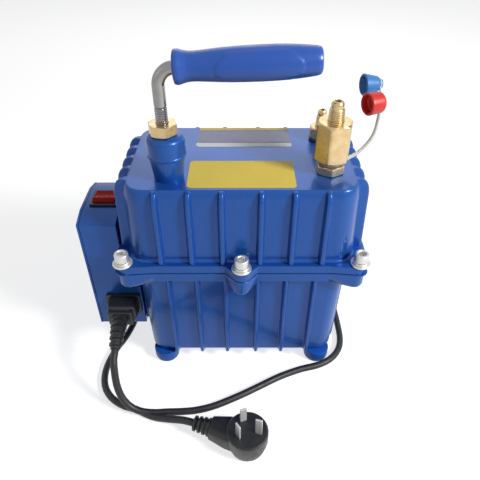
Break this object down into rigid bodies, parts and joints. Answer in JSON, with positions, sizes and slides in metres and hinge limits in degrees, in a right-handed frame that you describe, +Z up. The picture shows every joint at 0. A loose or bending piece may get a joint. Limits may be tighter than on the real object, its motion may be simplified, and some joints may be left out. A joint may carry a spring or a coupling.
{
  "type": "hvac vacuum pump",
  "caption": "Portable vacuum pump in a ribbed blue two-part metal housing, with carrying handle, brass flare ports, tethered caps, switch box and plug-in cord.",
  "frame": {"origin": "on the floor under the middle of the pump without its cord, connector and wall plug", "axes": "+Z up, -Y towards the front with the power inlet, +X towards the side away from the switch box"},
  "size_m": [0.2674, 0.3623, 0.3251],
  "materials": {
    "blue_paint": "glossy metallic blue paint on cast aluminium",
    "blue_rubber": "satin moulded blue rubber",
    "black_rubber": "matt black moulding",
    "black_plastic": "satin black moulding",
    "red_plastic": "satin red moulding",
    "blue_plastic": "satin light blue moulding",
    "clear_plastic": "milky soft plastic",
    "zinc": "bright zinc plate",
    "chrome": "polished chrome",
    "brass": "machined brass",
    "steel": "plain steel",
    "cast_iron": "machined grey iron",
    "copper": "plain copper",
    "carbon": "carbon composite"
  },
  "bodies": {
    "housing": {"lower_shell": "blue_paint", "upper_shell": "blue_paint", "control_box": "blue_paint", "control_box_cover": "blue_paint", "handle_grip": "blue_rubber", "foot_front_left": "blue_rubber", "foot_front_right": "blue_rubber", "foot_back_left": "blue_rubber", "foot_back_right": "blue_rubber", "flange_gasket": "black_rubber", "exhaust_port_seal": "black_rubber", "cord_connector": "black_rubber", "power_cord": "black_rubber", "wall_plug": "black_rubber", "switch_frame": "black_plastic", "power_inlet": "black_plastic", "flange_bolt_front_left": "zinc", "flange_bolt_front_middle": "zinc", "flange_bolt_front_right": "zinc", "flange_bolt_back_left": "zinc", "flange_bolt_back_middle": "zinc", "flange_bolt_back_right": "zinc", "flange_washer_front_left": "zinc", "flange_washer_front_middle": "zinc", "flange_washer_front_right": "zinc", "flange_washer_back_left": "zinc", "flange_washer_back_middle": "zinc", "flange_washer_back_right": "zinc", "box_screw_lower": "zinc", "box_screw_upper": "zinc", "handle_rod": "chrome", "handle_lock_nut": "brass", "intake_adapter": "brass", "check_valve_body": "brass", "exhaust_port": "brass", "check_valve_spring": "steel", "run_capacitor": "steel", "bearing_left": "steel", "bearing_right": "steel", "plug_pin_earth": "steel", "plug_pin_line": "steel", "plug_pin_neutral": "steel", "stator_core": "cast_iron", "motor_end_plate": "cast_iron", "pump_front_plate": "cast_iron", "pump_cylinder": "cast_iron", "pump_end_cover": "cast_iron", "motor_cradle": "cast_iron", "stator_windings": "copper", "intake_tube": "copper"},
    "rotor": {"pump_shaft": "steel", "motor_rotor": "steel", "vane_rotor": "steel", "vane_front": "carbon", "vane_back": "carbon"},
    "switch_rocker": {"rocker": "red_plastic"},
    "strap": {"cap_strap": "clear_plastic"},
    "red_cap": {"red_cap": "red_plastic"},
    "blue_cap": {"blue_cap": "blue_plastic"},
    "poppet": {"check_valve_poppet": "brass"}
  },
  "joints": [
    {"name": "shaft_spin", "type": "hinge", "parent": "housing", "child": "rotor", "pos_m": [0.01835, 0, 0.075], "axis": [1, 0, 0], "continuous": true},
    {"name": "rocker_tilt", "type": "hinge", "parent": "housing", "child": "switch_rocker", "pos_m": [-0.11245, -0.002, 0.1703], "axis": [1, 0, 0], "range_deg": [0, 18]},
    {"name": "strap_swing", "type": "hinge", "parent": "housing", "child": "strap", "pos_m": [0.09435, -0.027, 0.2241], "axis": [0, 0, 1], "range_deg": [-75, 75]},
    {"name": "red_cap_turn", "type": "hinge", "parent": "strap", "child": "red_cap", "pos_m": [0.11175, -0.0312, 0.277], "axis": [0.9272, 0.3746, 0], "continuous": true},
    {"name": "blue_cap_turn", "type": "hinge", "parent": "strap", "child": "blue_cap", "pos_m": [0.11155, -0.0078, 0.2842], "axis": [0.9848, 0.1736, 0], "continuous": true},
    {"name": "check_valve_lift", "type": "slide", "parent": "housing", "child": "poppet", "axis": [0, 0, -1], "range_m": [0, 0.003], "stiffness_N_per_m": 60, "springref_m": -0.004, "deforming": ["check_valve_spring"]}
  ]
}
